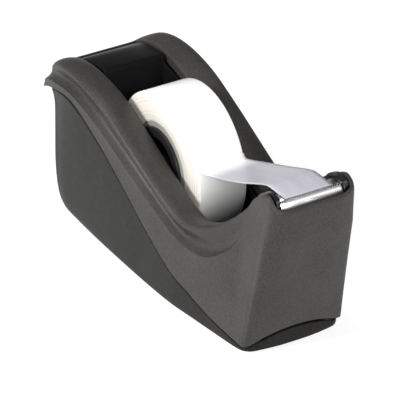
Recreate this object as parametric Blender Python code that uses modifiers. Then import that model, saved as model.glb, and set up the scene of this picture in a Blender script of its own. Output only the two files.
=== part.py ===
"""Curved desktop tape dispenser, weighted, with a lift-out roll of tape.

Frame: +X towards the cutter, +Y across the width, +Z up. The origin is on the ground, under the middle.
The numbers below are millimetres; MM turns them into metres where a mesh is made.
"""

import math

import bmesh
import bpy
from mathutils import Matrix, Vector

MM = 0.001
GAP = 0.3                     # clearance between pieces that touch

# Roll of tape
ROLL_X = -10.7
ROLL_Z = 36.3
TAPE_WIDTH = 19.0
TAPE_RADIUS = 27.0
CORE_OUTER = 16.3
CORE_INNER = 12.9
HUB_RADIUS = 12.5
HUB_FLANGE_RADIUS = 14.6
HUB_BORE = 2.6
HUB_WALL = 1.5
HUB_BOSS_WALL = 1.8
HUB_WEB = (3.6, 5.0)          # inner and outer faces of the disc, from the middle of the roll
HUB_FLANGE_THICKNESS = 0.9
TURN_STEPS = 40
TAPE_STEPS = 56
AXLE_RADIUS = 2.25
AXLE_HALF_LENGTH = 12.0

# Black tape well that lines the opening
WELL_HALF_INSIDE = 11.0
WELL_HALF_OUTSIDE = 12.2
WELL_FLOOR_RADIUS = 29.6
WELL_FLOOR_THICKNESS = 1.4
AXLE_SLOT_WIDTH = 5.2

# Shells and underside
SHELL_THICKNESS = 1.5
STATION_STEPS = 2              # rows of faces between two stations
CROWN = ((0.2, 0.06), (0.55, 0.10))     # places across the shoulder's top and their rise, as shares of its width
SWELL = ((0.3, 0.06), (0.65, 0.02))     # places down the shoulder's side and their swell, as the same shares
SKIRT_ROWS = (0.3, 0.65)                # rows of faces down the skirt
HEEL = ((0.14, 0.6), (0.46, 0.88))      # rounding of the base's lower edge: shares inwards and down
BASE_THICKNESS = 1.6
FLANGE_WIDTH = 3.4
PAD_THICKNESS = 2.0
PAD_INSET = 4.3
LIP_INSET = 1.9                # lip of the base that stands inside the shell's lower edge
LIP_HEIGHT = 1.2
PLATE_INSET = 4.4
PLATE_BOTTOM = 2.5
PLATE_TOP = 4.3

# Screws that hold the plate up to posts under the shoulders: x, half spacing, height of the post's top
POSTS = ((-51.0, 16.6, 59.4), (27.0, 15.4, 34.2))
POST_RADIUS = 2.4
SCREW_SHANK_RADIUS = 1.2
SCREW_HEAD_RADIUS = 2.4
SCREW_HEAD_HEIGHT = 1.2
SCREW_LENGTH = 9.0
SCREW_CHAMFER = 0.4
SCREW_STEPS = 16
SCREW_SLOT_WIDTH = 0.7
SCREW_SLOT_DEPTH = 0.6
PILOT_DEPTH = 8.0

# Cast weights inside the base: low and high corners
WEIGHTS = (
    ("rear_weight", (-61.5, -12.5, PLATE_TOP + GAP), (-47.5, 12.5, 38.0)),
    ("front_weight", (26.0, -11.8, PLATE_TOP + GAP), (50.0, 11.8, 20.0)),
)

# One half of the upper shell, from the middle of the back round the side to the middle of the front.
# Each station runs outwards and down: opening edge, brow, valley, crest of the skirt, parting edge.
SHELL_STATIONS = (
    ((-65.3, 0.0, 54.9), (-68.8, 0.0, 52.5), (-71.4, 0.0, 48.3), (-72.7, 0.0, 45.5), (-74.2, 0.0, 41.4)),
    ((-65.3, 11.0, 54.9), (-68.7, 10.6, 52.6), (-71.2, 11.2, 48.4), (-72.5, 11.5, 45.6), (-73.9, 11.6, 41.6)),
    ((-64.2, 13.2, 55.9), (-66.9, 19.6, 54.4), (-69.6, 20.8, 49.4), (-70.7, 21.3, 46.9), (-71.6, 21.6, 43.4)),
    ((-57.5, 13.6, 58.5), (-59.4, 22.7, 58.4), (-61.4, 22.6, 52.6), (-62.2, 24.0, 50.7), (-63.4, 24.0, 47.4)),
    ((-46.7, 13.4, 59.4), (-46.7, 23.7, 59.7), (-47.0, 22.9, 54.2), (-47.0, 24.9, 52.4), (-47.0, 25.2, 50.1)),
    ((-30.5, 12.8, 56.5), (-30.5, 23.9, 57.4), (-30.5, 22.9, 51.4), (-30.5, 25.0, 49.2), (-30.5, 25.3, 44.2)),
    ((-13.3, 12.5, 49.1), (-13.3, 24.1, 50.5), (-13.3, 22.5, 45.0), (-13.3, 24.8, 42.6), (-13.3, 25.3, 34.9)),
    ((5.7, 12.5, 40.5), (5.7, 24.0, 42.0), (5.7, 21.7, 36.2), (5.7, 24.0, 34.2), (5.7, 25.1, 22.8)),
    ((20.3, 12.5, 35.1), (20.3, 23.4, 36.4), (20.3, 21.3, 30.6), (20.3, 23.5, 28.9), (21.0, 24.7, 14.1)),
    ((29.5, 12.5, 34.7), (29.5, 22.0, 35.6), (30.0, 20.4, 29.4), (30.0, 22.8, 27.2), (31.0, 23.7, 10.6)),
    ((40.2, 12.5, 39.6), (39.2, 19.7, 39.2), (40.5, 19.8, 31.2), (40.5, 21.9, 28.8), (41.0, 22.4, 6.9)),
    ((49.5, 12.5, 46.6), (48.0, 17.6, 45.6), (50.4, 18.1, 38.2), (50.6, 19.9, 35.4), (50.5, 21.2, 4.6)),
    ((56.6, 12.7, 54.4), (55.6, 15.6, 53.0), (55.8, 16.6, 47.4), (56.4, 17.8, 42.0), (56.5, 20.5, 3.5)),
    ((61.6, 14.4, 60.6), (61.4, 15.7, 60.0), (61.3, 16.4, 55.5), (61.0, 17.4, 47.0), (60.0, 20.2, 3.1)),
    ((69.4, 14.6, 65.2), (69.3, 16.3, 64.8), (69.4, 16.6, 60.2), (67.5, 17.5, 47.0), (61.2, 19.9, 3.1)),
    ((74.0, 14.4, 62.5), (73.9, 16.1, 61.8), (73.6, 16.4, 57.5), (71.6, 17.3, 47.0), (62.2, 18.6, 3.4)),
    ((74.7, 10.9, 60.9), (76.0, 11.2, 60.5), (75.4, 11.4, 57.2), (73.5, 11.6, 47.0), (63.2, 11.8, 5.4)),
    ((74.7, 5.6, 60.8), (76.0, 5.8, 60.5), (75.5, 5.9, 57.2), (73.6, 5.9, 47.0), (63.6, 6.0, 6.6)),
    ((74.7, 0.0, 60.8), (76.0, 0.0, 60.5), (75.5, 0.0, 57.2), (73.6, 0.0, 47.0), (63.7, 0.0, 7.0)),
)

# One half of the base, at stations that match the shell's: top edge, top of the wall, middle, foot.
# Behind, the top edge runs out under the shell's tail.
BASE_STATIONS = (
    ((-71.8, 0.0, 42.0), (-66.0, 0.0, 40.4), (-66.0, 0.0, 18.0), (-60.6, 0.0, 0.6)),
    ((-71.5, 9.0, 42.1), (-65.9, 9.0, 40.6), (-65.9, 9.0, 18.0), (-60.6, 9.0, 0.6)),
    ((-69.4, 19.4, 43.7), (-63.9, 20.8, 42.2), (-64.0, 21.2, 18.0), (-59.6, 19.0, 0.6)),
    ((-62.4, 22.2, 46.6), (-58.4, 23.3, 43.8), (-58.4, 23.5, 18.0), (-55.8, 22.2, 0.6)),
    ((-47.0, 24.9, 49.5), (-47.0, 24.8, 46.0), (-46.8, 24.3, 20.0), (-46.0, 23.2, 0.6)),
    ((-30.5, 25.0, 43.5), (-30.5, 25.0, 40.6), (-30.5, 24.8, 18.0), (-30.5, 24.0, 0.6)),
    ((-13.3, 25.0, 34.3), (-13.3, 25.0, 31.3), (-13.3, 24.9, 15.0), (-13.3, 24.4, 0.6)),
    ((5.7, 24.8, 22.4), (5.7, 24.8, 19.2), (5.7, 24.8, 10.0), (5.7, 24.5, 0.6)),
    ((21.0, 24.4, 13.7), (21.0, 24.4, 11.0), (21.0, 24.4, 6.0), (20.6, 24.0, 0.6)),
    ((31.0, 23.4, 10.2), (31.0, 23.4, 8.0), (31.0, 23.3, 4.6), (31.2, 22.8, 0.6)),
    ((41.0, 22.1, 6.6), (41.0, 22.1, 5.2), (41.0, 22.0, 3.2), (41.2, 21.7, 0.6)),
    ((50.3, 20.9, 4.3), (50.3, 20.9, 3.5), (50.3, 20.9, 2.3), (50.5, 20.6, 0.6)),
    ((56.0, 20.1, 3.2), (56.0, 20.1, 2.7), (56.0, 20.1, 1.8), (56.1, 19.9, 0.6)),
    ((59.3, 19.3, 2.8), (59.3, 19.3, 2.3), (59.4, 19.3, 1.6), (59.4, 19.1, 0.6)),
    ((60.9, 18.1, 2.8), (60.9, 18.1, 2.3), (61.0, 18.1, 1.6), (61.0, 17.9, 0.6)),
    ((61.9, 16.2, 3.1), (62.0, 16.2, 2.5), (62.1, 16.2, 1.7), (62.1, 16.1, 0.6)),
    ((62.9, 11.4, 5.0), (63.0, 11.4, 4.1), (63.1, 11.4, 2.4), (63.0, 11.4, 0.6)),
    ((63.3, 5.8, 6.2), (63.5, 5.8, 5.1), (63.7, 5.8, 3.0), (63.6, 5.8, 0.6)),
    ((63.4, 0.0, 6.6), (63.6, 0.0, 5.4), (63.8, 0.0, 3.2), (63.7, 0.0, 0.6)),
)

# Black well: top edge of its sides from the back to the front, under the lip of the opening (x, z)
WELL_EDGE = (
    (-64.3, 54.9), (-58.0, 57.7), (-46.7, 59.1), (-44.4, 58.2), (-42.6, 56.2), (-30.5, 53.6), (-13.3, 46.2),
    (5.7, 37.6), (20.3, 32.3), (29.5, 32.2), (40.2, 38.6), (49.5, 46.1), (55.4, 52.6),
)
WELL_WALL = 1.4
WELL_REAR_WALL = (-44.6, 57.4)   # top of the wall's inner face, where the rear ledge ends
WELL_LEDGE_UNDERSIDE = ((-58.0, 56.0), (-63.1, 53.6))
WELL_FLOOR_START = 195.0         # the round floor's ends, in degrees about the roll
WELL_FLOOR_END = 309.5
WELL_FRONT_TOP = (55.4, 51.7)    # top of the sloping front wall's inner face
WELL_FRONT_BOTTOM = (57.4, 50.8)
WELL_STEPS = 16
OPEN_TOP = 70.0                  # height that the cutters reach, clear above everything

# Cutter head: side outline of the cheeks, then the top of the platform between them (x, z)
CHEEK_OUTLINE = (
    (60.8, 54.0), (60.4, 58.4), (61.4, 60.4), (63.4, 62.7), (66.0, 64.4), (69.0, 65.5), (71.4, 65.3),
    (72.8, 63.8), (73.2, 61.4), (72.9, 58.5), (71.9, 54.0),
)
PLATFORM_TOP = ((57.0, 56.6), (59.4, 59.4), (62.4, 61.5), (64.0, 61.8), (69.8, 61.8), (70.9, 61.4), (73.2, 57.8))
HEAD_HALF_OUTSIDE = 13.5
HEAD_HALF_INSIDE = 12.6
HEAD_CUT_BACK = (50.0, 56.0)     # far corners of the cut above the platform
HEAD_CUT_FRONT = (80.0, 52.0)

# Cutter blade: a toothed strip that leans back against the front of the platform, folded to a flat leaf
# that lies on the platform, with a slit at each end of the fold
BLADE_FOOT = (73.5, 59.7)
BLADE_TOP = (71.7, 62.9)
BLADE_LEAF = ((66.2, 62.1), (72.1, 62.1), (72.0, 62.4), (66.2, 62.4))
BLADE_HALF_WIDTH = 12.2
BLADE_THICKNESS = 0.4
TOOTH_COUNT = 24
TOOTH_HEIGHT = 0.8
SLIT_X = 71.1
SLIT_Z = 62.25
SLIT_SIZE = (0.7, 4.6, 1.0)

# Free end of the tape, from the roll to the platform (x, z)
TONGUE_PATH = (
    (14.2, 47.9), (15.0, 46.9), (16.3, 46.6), (18.8, 47.3), (24.8, 49.3), (42.0, 55.6), (57.0, 61.8),
    (62.0, 62.8), (70.8, 62.85),
)
TONGUE_THICKNESS = 0.3


def clear_scene():
    for old in list(bpy.data.objects):
        bpy.data.objects.remove(old, do_unlink=True)


def new_collection(name):
    collection = bpy.data.collections.new(name)
    bpy.context.scene.collection.children.link(collection)
    return collection


def material(name, colour, roughness, metallic=0.0):
    made = bpy.data.materials.new(name)
    made.use_nodes = True
    shader = made.node_tree.nodes["Principled BSDF"]
    shader.inputs["Base Color"].default_value = (*colour, 1.0)
    shader.inputs["Roughness"].default_value = roughness
    shader.inputs["Metallic"].default_value = metallic
    return made


def mesh_from(name, bm, smooth_angle=35.0):
    bmesh.ops.recalc_face_normals(bm, faces=bm.faces[:])
    if bm.calc_volume(signed=True) < 0.0:
        bmesh.ops.reverse_faces(bm, faces=bm.faces[:])
    mesh = bpy.data.meshes.new(name)
    bm.to_mesh(mesh)
    bm.free()
    mesh.shade_smooth()
    mesh.set_sharp_from_angle(angle=math.radians(smooth_angle))
    return mesh


def add_part(name, mesh, finish, collection):
    part = bpy.data.objects.new(name, mesh)
    collection.objects.link(part)
    mesh.materials.append(finish)
    return part


def add_cutter(name, mesh, collection):
    cutter = bpy.data.objects.new(name, mesh)
    collection.objects.link(cutter)
    cutter.hide_render = True
    cutter.display_type = 'WIRE'
    return cutter


def add_solidify(part, thickness):
    wall = part.modifiers.new("wall", 'SOLIDIFY')
    wall.thickness = thickness * MM
    wall.offset = -1.0
    wall.use_even_offset = True


def add_bevel(part, width, segments=2):
    edges = part.modifiers.new("edges", 'BEVEL')
    edges.width = width * MM
    edges.segments = segments
    edges.limit_method = 'ANGLE'
    edges.angle_limit = math.radians(40.0)


def add_boolean(part, cutter, operation='DIFFERENCE'):
    boolean = part.modifiers.new(cutter.name, 'BOOLEAN')
    boolean.operation = operation
    boolean.object = cutter


def curve_point(points, position):
    """Point on a smooth curve through the points; the position counts points from the first."""
    last = len(points) - 1
    index = min(int(position), last - 1)
    part = position - index
    p1 = Vector(points[index])
    p2 = Vector(points[index + 1])
    p0 = Vector(points[index - 1]) if index > 0 else 2.0 * p1 - p2
    p3 = Vector(points[index + 2]) if index + 2 <= last else 2.0 * p2 - p1
    square = (2.0 * p0 - 5.0 * p1 + 4.0 * p2 - p3) * part ** 2
    cube = (3.0 * p1 - p0 - 3.0 * p2 + p3) * part ** 3
    return p1 + 0.5 * ((p2 - p0) * part + square + cube)


def smooth_curve(points, steps):
    count = (len(points) - 1) * steps + 1
    return [curve_point(points, index / steps) for index in range(count)]


def arc(centre_x, centre_z, radius, start, end, steps):
    """Points (x, z) along an arc, with angles in degrees from +X towards +Z."""
    angles = [math.radians(start + (end - start) * index / steps) for index in range(steps + 1)]
    return [(centre_x + radius * math.cos(turn), centre_z + radius * math.sin(turn)) for turn in angles]


def closed_rows(stations, steps, profile):
    """Closed rows round the whole body from the stations of one half."""
    lines = [smooth_curve([station[row] for station in stations], steps) for row in range(len(stations[0]))]
    columns = [profile(column) for column in zip(*lines)]
    halves = zip(*columns)
    rows = []
    for half in halves:
        mirrored = [Vector((point.x, -point.y, point.z)) for point in reversed(half[1:-1])]
        rows.append(list(half) + mirrored)
    return rows


def sheet_mesh(name, rows):
    """Open sheet lofted through closed rows, first row on top, facing outwards."""
    bm = bmesh.new()
    grid = [[bm.verts.new(point * MM) for point in row] for row in rows]
    count = len(rows[0])
    for upper, lower in zip(grid, grid[1:]):
        for index in range(count):
            after = (index + 1) % count
            bm.faces.new((upper[index], upper[after], lower[after], lower[index]))
    mesh = bpy.data.meshes.new(name)
    bm.to_mesh(mesh)
    bm.free()
    mesh.shade_smooth()
    mesh.set_sharp_from_angle(angle=math.radians(50.0))
    return mesh


def inset_row(row, distance, lift=0.0):
    """A closed row drawn in towards its middle by about a distance, and lifted."""
    front = max(point.x for point in row)
    back = min(point.x for point in row)
    side = max(point.y for point in row)
    middle = 0.5 * (front + back)
    along = 1.0 - 2.0 * distance / (front - back)
    across = 1.0 - distance / side
    return [Vector((middle + (point.x - middle) * along, point.y * across, point.z + lift)) for point in row]


def outline_mesh(name, outline, thickness, upright=True):
    """Flat closed outline given a thickness: upright pieces stand in XZ, the others lie in XY."""
    curve = bpy.data.curves.new(name, 'CURVE')
    curve.dimensions = '2D'
    curve.fill_mode = 'BOTH'
    curve.extrude = 0.5 * thickness * MM
    spline = curve.splines.new('POLY')
    spline.points.add(len(outline) - 1)
    for point, (across, up) in zip(spline.points, outline):
        point.co = (across * MM, up * MM, 0.0, 1.0)
    spline.use_cyclic_u = True
    holder = bpy.data.objects.new(name, curve)
    bpy.context.scene.collection.objects.link(holder)
    bpy.context.view_layer.update()
    evaluated = holder.evaluated_get(bpy.context.evaluated_depsgraph_get())
    flat = bpy.data.meshes.new_from_object(evaluated)
    bpy.data.objects.remove(holder, do_unlink=True)
    bpy.data.curves.remove(curve)
    bm = bmesh.new()
    bm.from_mesh(flat)
    bpy.data.meshes.remove(flat)
    bmesh.ops.remove_doubles(bm, verts=bm.verts[:], dist=0.00001)
    if upright:
        bmesh.ops.rotate(bm, verts=bm.verts[:], matrix=Matrix.Rotation(math.pi / 2.0, 3, 'X'))
    return mesh_from(name, bm)


def cylinder_mesh(name, radius, length, along='Z', sides=32):
    bm = bmesh.new()
    bmesh.ops.create_cone(bm, cap_ends=True, segments=sides, radius1=radius * MM, radius2=radius * MM,
                          depth=length * MM)
    if along == 'Y':
        bmesh.ops.rotate(bm, verts=bm.verts[:], matrix=Matrix.Rotation(math.pi / 2.0, 3, 'X'))
    return mesh_from(name, bm)


def box_mesh(name, size):
    bm = bmesh.new()
    bmesh.ops.create_cube(bm, size=1.0)
    bmesh.ops.scale(bm, verts=bm.verts[:], vec=Vector(size) * MM)
    return mesh_from(name, bm)


def add_turn(part, steps):
    turn = part.modifiers.new("turn", 'SCREW')
    turn.axis = 'Z'
    turn.angle = math.tau
    turn.steps = steps
    turn.render_steps = steps
    turn.use_merge_vertices = True
    turn.merge_threshold = 0.00001


def turned_part(name, profile, finish, collection, parent, steps=TURN_STEPS):
    """Ring turned about the axle. The profile (radius, place along the axle) closes on itself."""
    mesh = bpy.data.meshes.new(name)
    corners = [(radius * MM, 0.0, along * MM) for radius, along in profile]
    edges = [(index, (index + 1) % len(corners)) for index in range(len(corners))]
    mesh.from_pydata(corners, edges, [])
    part = add_part(name, mesh, finish, collection)
    part.rotation_euler = (-math.pi / 2.0, 0.0, 0.0)
    part.parent = parent
    add_turn(part, steps)


def shell_profile(column):
    """Down one station: opening edge, crowned shoulder, valley, crest, skirt, parting edge."""
    edge, brow, valley, crest, rim = column
    width = (brow - edge).length
    up = Vector((0.0, 0.0, width))
    outwards = (brow - edge).xy.to_3d().normalized() * width
    crown = [edge.lerp(brow, share) + up * rise for share, rise in CROWN]
    side = [brow.lerp(valley, share) + outwards * swell for share, swell in SWELL]
    skirt = [crest.lerp(rim, share) for share in SKIRT_ROWS]
    return [edge, *crown, brow, *side, valley, crest, *skirt, rim]


def base_profile(column):
    """Down one station: edge under the shell, wall, rounded heel, foot."""
    top, wall, middle, foot = column
    heel = [Vector((*middle.xy.lerp(foot.xy, inwards), middle.z + (foot.z - middle.z) * down))
            for inwards, down in HEEL]
    return [top, wall, wall.lerp(middle, 0.5), middle, *heel, foot]


def build_upper_shell(collection, cutters, finish):
    rows = closed_rows(SHELL_STATIONS, STATION_STEPS, shell_profile)
    shell = add_part("upper_shell", sheet_mesh("upper_shell", rows), finish, collection)
    add_solidify(shell, SHELL_THICKNESS)
    bottom = PLATE_TOP + GAP
    for x, half_spacing, top in POSTS:
        for y in (-half_spacing, half_spacing):
            post = add_cutter("post", cylinder_mesh("post", POST_RADIUS, top - bottom, sides=16), cutters)
            post.location = Vector((x, y, 0.5 * (top + bottom))) * MM
            add_boolean(shell, post, 'UNION')
            pilot_mesh = cylinder_mesh("pilot", SCREW_SHANK_RADIUS + GAP, 2.0 * PILOT_DEPTH, sides=16)
            pilot = add_cutter("pilot", pilot_mesh, cutters)
            pilot.location = Vector((x, y, bottom)) * MM
            add_boolean(shell, pilot)


def build_base_shell(collection, finish):
    rows = closed_rows(BASE_STATIONS, STATION_STEPS, base_profile)
    lip = [inset_row(rows[0], LIP_INSET, LIP_HEIGHT), inset_row(rows[0], LIP_INSET)]
    rows = lip + rows + [inset_row(rows[-1], FLANGE_WIDTH)]
    base = add_part("base_shell", sheet_mesh("base_shell", rows), finish, collection)
    add_solidify(base, BASE_THICKNESS)


def foot_plan(inset):
    """Plan outline of the foot, moved inwards."""
    foot = closed_rows(BASE_STATIONS, STATION_STEPS, base_profile)[-1]
    return [tuple(point.xy) for point in inset_row(foot, inset)]


def build_foot_pad(collection, finish):
    mesh = outline_mesh("foot_pad", foot_plan(PAD_INSET), PAD_THICKNESS, upright=False)
    pad = add_part("foot_pad", mesh, finish, collection)
    pad.location.z = 0.5 * PAD_THICKNESS * MM


def build_base_plate(collection, cutters, finish):
    mesh = outline_mesh("base_plate", foot_plan(PLATE_INSET), PLATE_TOP - PLATE_BOTTOM, upright=False)
    plate = add_part("base_plate", mesh, finish, collection)
    plate.location.z = 0.5 * (PLATE_TOP + PLATE_BOTTOM) * MM
    recess_mesh = cylinder_mesh("recess", SCREW_HEAD_RADIUS + GAP, 2.0 * (SCREW_HEAD_HEIGHT + GAP))
    hole_mesh = cylinder_mesh("hole", SCREW_SHANK_RADIUS + GAP, 4.0 * PLATE_TOP, sides=16)
    for x, half_spacing, _ in POSTS:
        for y in (-half_spacing, half_spacing):
            for mesh in (recess_mesh, hole_mesh):
                cutter = add_cutter(mesh.name, mesh, cutters)
                cutter.location = Vector((x, y, PLATE_BOTTOM)) * MM
                add_boolean(plate, cutter)


def build_screws(collection, cutters, finish):
    """Pan-head screws, driven from below: slotted head in the plate, shank in the post."""
    shank_top = PLATE_BOTTOM + SCREW_LENGTH
    head_top = PLATE_BOTTOM + SCREW_HEAD_HEIGHT
    profile = (
        (0.0, shank_top), (SCREW_SHANK_RADIUS - SCREW_CHAMFER, shank_top),
        (SCREW_SHANK_RADIUS, shank_top - SCREW_CHAMFER), (SCREW_SHANK_RADIUS, head_top),
        (SCREW_HEAD_RADIUS, head_top), (SCREW_HEAD_RADIUS, PLATE_BOTTOM + SCREW_CHAMFER),
        (SCREW_HEAD_RADIUS - SCREW_CHAMFER, PLATE_BOTTOM), (0.0, PLATE_BOTTOM),
    )
    slot_mesh = box_mesh("slot", (3.0 * SCREW_HEAD_RADIUS, SCREW_SLOT_WIDTH, 2.0 * SCREW_SLOT_DEPTH))
    names = iter(("screw_rear_left", "screw_rear_right", "screw_front_left", "screw_front_right"))
    for x, half_spacing, _ in POSTS:
        for y in (-half_spacing, half_spacing):
            name = next(names)
            mesh = bpy.data.meshes.new(name)
            corners = [(radius * MM, 0.0, height * MM) for radius, height in profile]
            mesh.from_pydata(corners, [(index, index + 1) for index in range(len(corners) - 1)], [])
            screw = add_part(name, mesh, finish, collection)
            screw.location = Vector((x, y, 0.0)) * MM
            add_turn(screw, SCREW_STEPS)
            slot = add_cutter("slot", slot_mesh, cutters)
            slot.location = Vector((x, y, PLATE_BOTTOM)) * MM
            add_boolean(screw, slot)


def build_weights(collection, finish):
    for name, low, high in WEIGHTS:
        size = Vector(high) - Vector(low)
        weight = add_part(name, box_mesh(name, size), finish, collection)
        weight.location = 0.5 * (Vector(high) + Vector(low)) * MM
        add_bevel(weight, 1.2)


def build_well(collection, cutters, finish):
    """Black trough: ledge behind, sides up to the opening, round floor, open slots for the axle."""
    edge = [tuple(place) for place in smooth_curve([Vector(place) for place in WELL_EDGE], 2)]
    outer = arc(ROLL_X, ROLL_Z, WELL_FLOOR_RADIUS + WELL_WALL, WELL_FLOOR_END, WELL_FLOOR_START, WELL_STEPS)
    inner = arc(ROLL_X, ROLL_Z, WELL_FLOOR_RADIUS, WELL_FLOOR_START, WELL_FLOOR_END, WELL_STEPS)
    rear_x, rear_z = WELL_REAR_WALL
    front_x, _ = WELL_FRONT_TOP
    ledge_below = [(rear_x - WELL_WALL, rear_z - WELL_WALL), *WELL_LEDGE_UNDERSIDE]
    outline = edge + [WELL_FRONT_BOTTOM] + outer + ledge_below
    well = add_part("tape_well", outline_mesh("tape_well", outline, 2.0 * WELL_HALF_OUTSIDE), finish, collection)
    cavity_outline = [(rear_x, OPEN_TOP), (rear_x, rear_z)] + inner
    cavity_outline += [WELL_FRONT_TOP, (front_x, OPEN_TOP)]
    cavity = add_cutter("cavity", outline_mesh("cavity", cavity_outline, 2.0 * WELL_HALF_INSIDE), cutters)
    add_boolean(well, cavity)
    half_slot = 0.5 * AXLE_SLOT_WIDTH
    slot_outline = arc(ROLL_X, ROLL_Z, half_slot, 180.0, 360.0, 12)
    slot_outline += [(ROLL_X + half_slot, OPEN_TOP), (ROLL_X - half_slot, OPEN_TOP)]
    slots = add_cutter("axle_slots", outline_mesh("axle_slots", slot_outline, 4.0 * WELL_HALF_OUTSIDE), cutters)
    add_boolean(well, slots)


def build_cutter_head(collection, cutters, finish):
    """Black nose piece: a flat platform for the tape between two rounded cheeks."""
    head = add_part("cutter_head", outline_mesh("cutter_head", CHEEK_OUTLINE, 2.0 * HEAD_HALF_OUTSIDE),
                    finish, collection)
    above = [*PLATFORM_TOP, HEAD_CUT_FRONT, (HEAD_CUT_FRONT[0], OPEN_TOP), (HEAD_CUT_BACK[0], OPEN_TOP)]
    above.append(HEAD_CUT_BACK)
    above_mesh = outline_mesh("above_platform", above, 2.0 * HEAD_HALF_INSIDE)
    add_boolean(head, add_cutter("above_platform", above_mesh, cutters))


def build_cutter_blade(collection, cutters, finish):
    """Steel strip with a saw edge, tilted back on the front of the platform, and its flat leaf."""
    foot = Vector(BLADE_FOOT)
    top = Vector(BLADE_TOP)
    height = (top - foot).length
    pitch = 2.0 * BLADE_HALF_WIDTH / TOOTH_COUNT
    outline = [(-BLADE_HALF_WIDTH, 0.0), (BLADE_HALF_WIDTH, 0.0)]
    for index in range(TOOTH_COUNT, 0, -1):
        right = -BLADE_HALF_WIDTH + index * pitch
        outline.append((right, height - TOOTH_HEIGHT))
        outline.append((right - 0.5 * pitch, height))
    outline.append((-BLADE_HALF_WIDTH, height - TOOTH_HEIGHT))
    mesh = outline_mesh("cutter_blade", outline, BLADE_THICKNESS, upright=False)
    blade = add_part("cutter_blade", mesh, finish, collection)
    lean = math.atan2(top.y - foot.y, foot.x - top.x)
    blade.rotation_euler = (lean, 0.0, math.pi / 2.0)
    blade.location = Vector((foot.x, 0.0, foot.y)) * MM
    leaf_mesh = outline_mesh("blade_leaf", BLADE_LEAF, 2.0 * BLADE_HALF_WIDTH)
    add_boolean(blade, add_cutter("blade_leaf", leaf_mesh, cutters), 'UNION')
    slit_mesh = box_mesh("slit", SLIT_SIZE)
    for y in (-BLADE_HALF_WIDTH, BLADE_HALF_WIDTH):
        slit = add_cutter("slit", slit_mesh, cutters)
        slit.location = Vector((SLIT_X, y, SLIT_Z)) * MM
        add_boolean(blade, slit)


def build_roll(collection, axle_line, finishes):
    """Two hub halves, the core pressed on them and the tape wound on the core, all turning on the axle."""
    half_width = 0.5 * TAPE_WIDTH
    flange_inside = half_width + GAP
    flange_outside = flange_inside + HUB_FLANGE_THICKNESS
    web_inside, web_outside = HUB_WEB
    boss_radius = HUB_BORE + HUB_BOSS_WALL
    drum_inside = HUB_RADIUS - HUB_WALL
    half_hub = (
        (HUB_RADIUS, flange_inside), (HUB_RADIUS, 0.5 * GAP), (drum_inside, 0.5 * GAP), (drum_inside, web_inside),
        (boss_radius, web_inside), (boss_radius, 0.5 * GAP), (HUB_BORE, 0.5 * GAP), (HUB_BORE, flange_outside),
        (boss_radius, flange_outside), (boss_radius, web_outside), (drum_inside, web_outside),
        (drum_inside, flange_outside), (HUB_FLANGE_RADIUS, flange_outside), (HUB_FLANGE_RADIUS, flange_inside),
    )
    turned_part("hub_right", half_hub, finishes["hub"], collection, axle_line)
    mirrored = [(radius, -along) for radius, along in reversed(half_hub)]
    turned_part("hub_left", mirrored, finishes["hub"], collection, axle_line)
    core = ring_profile(CORE_INNER, CORE_OUTER, half_width)
    turned_part("tape_core", core, finishes["core"], collection, axle_line)
    tape = ring_profile(CORE_OUTER + GAP, TAPE_RADIUS, half_width)
    turned_part("tape_roll", tape, finishes["tape"], collection, axle_line, steps=TAPE_STEPS)


def ring_profile(inner, outer, half_width):
    return ((outer, half_width), (outer, -half_width), (inner, -half_width), (inner, half_width))


def build_axle(collection, axle_line, finish):
    mesh = cylinder_mesh("hub_axle", AXLE_RADIUS, 2.0 * AXLE_HALF_LENGTH, along='Y')
    axle = add_part("hub_axle", mesh, finish, collection)
    axle.parent = axle_line
    add_bevel(axle, 0.4)


def build_tongue(collection, axle_line, finish):
    """Free end of the tape, a thin strip curling off the roll and lying on the platform."""
    half_width = 0.5 * TAPE_WIDTH
    path = smooth_curve([Vector((x - ROLL_X, 0.0, z - ROLL_Z)) for x, z in TONGUE_PATH], 3)
    bm = bmesh.new()
    near = [bm.verts.new(point * MM + Vector((0.0, -half_width * MM, 0.0))) for point in path]
    for before, after in zip(near, near[1:]):
        bm.edges.new((before, after))
    swept = bmesh.ops.extrude_edge_only(bm, edges=bm.edges[:])
    moved = [item for item in swept["geom"] if isinstance(item, bmesh.types.BMVert)]
    bmesh.ops.translate(bm, verts=moved, vec=(0.0, TAPE_WIDTH * MM, 0.0))
    strip = add_part("tape_tongue", mesh_from("tape_tongue", bm), finish, collection)
    strip.parent = axle_line
    thickness = strip.modifiers.new("thickness", 'SOLIDIFY')
    thickness.thickness = TONGUE_THICKNESS * MM
    thickness.offset = 0.0


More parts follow.
